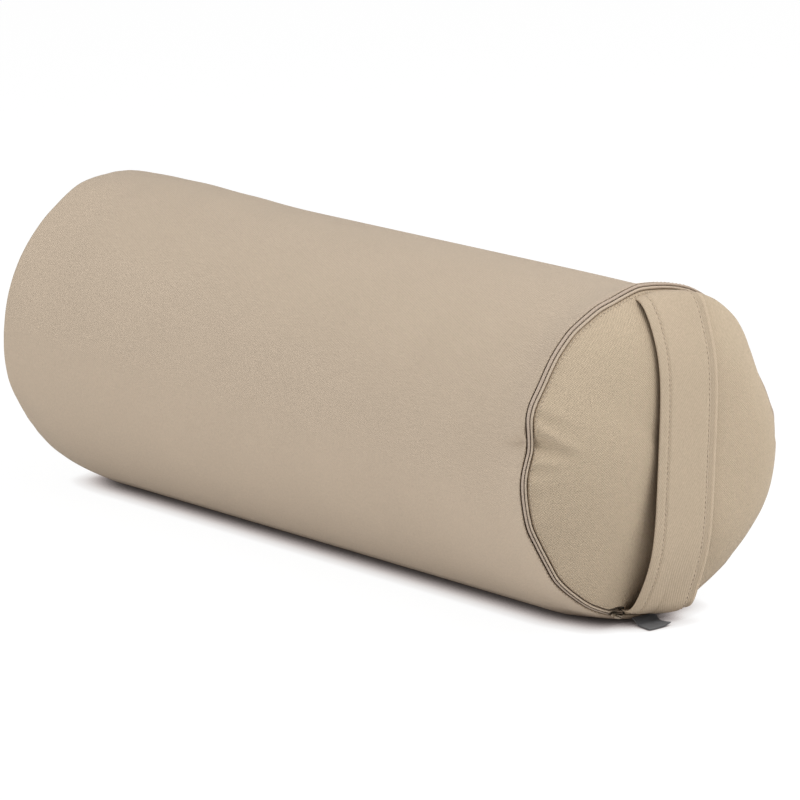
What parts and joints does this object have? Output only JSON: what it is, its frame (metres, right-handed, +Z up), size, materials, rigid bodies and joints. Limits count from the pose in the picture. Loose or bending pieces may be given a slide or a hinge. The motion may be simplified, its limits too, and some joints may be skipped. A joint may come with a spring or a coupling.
{
  "type": "round yoga bolster",
  "caption": "Firm round bolster in beige twill, with a zipped removable cover, a carry strap over one domed end and a fibre-filled inner liner.",
  "frame": {"origin": "on the floor, under the middle of the bolster", "axes": "+X along the bolster towards the end with the zip and the strap, +Z up"},
  "size_m": [0.6419, 0.2246, 0.2255],
  "materials": {
    "twill": "matt cotton twill",
    "strap_twill": "matt cotton twill, folded and edge-stitched",
    "zip_tape": "fine woven tape",
    "zip_coil": "satin nylon",
    "zip_metal": "satin zinc",
    "charcoal_weave": "woven ribbon",
    "calico": "undyed cotton",
    "fibre": "packed cotton fibre"
  },
  "bodies": {
    "cover": {"cover_body_panel": "twill", "cover_zip_end_panel": "twill", "cover_plain_end_panel": "twill", "carry_strap": "strap_twill", "zip_tape_body_side": "zip_tape", "zip_tape_end_side": "zip_tape", "zip_coil_body_side": "zip_coil", "zip_coil_end_side": "zip_coil", "zip_top_stop_body_side": "zip_metal", "zip_top_stop_end_side": "zip_metal", "zip_bottom_stop": "zip_metal", "woven_tag": "charcoal_weave", "liner_body_panel": "calico", "liner_zip_end_panel": "calico", "liner_plain_end_panel": "calico", "filling": "fibre"},
    "zip_slider": {"zip_slider": "zip_metal"},
    "zip_pull": {"zip_pull_tab": "zip_metal"}
  },
  "joints": [
    {"name": "zip_slider_travel", "type": "hinge", "parent": "cover", "child": "zip_slider", "pos_m": [0.2885, 0, 0.1138], "axis": [-1, 0, 0], "range_deg": [0, 252.3], "deforming": ["zip_coil_body_side", "zip_coil_end_side"]},
    {"name": "zip_pull_swing", "type": "hinge", "parent": "zip_slider", "child": "zip_pull", "pos_m": [0.29059, -0.03322, 0.00845], "axis": [-0.5736, -0.2463, -0.7812], "range_deg": [0, 184]}
  ]
}
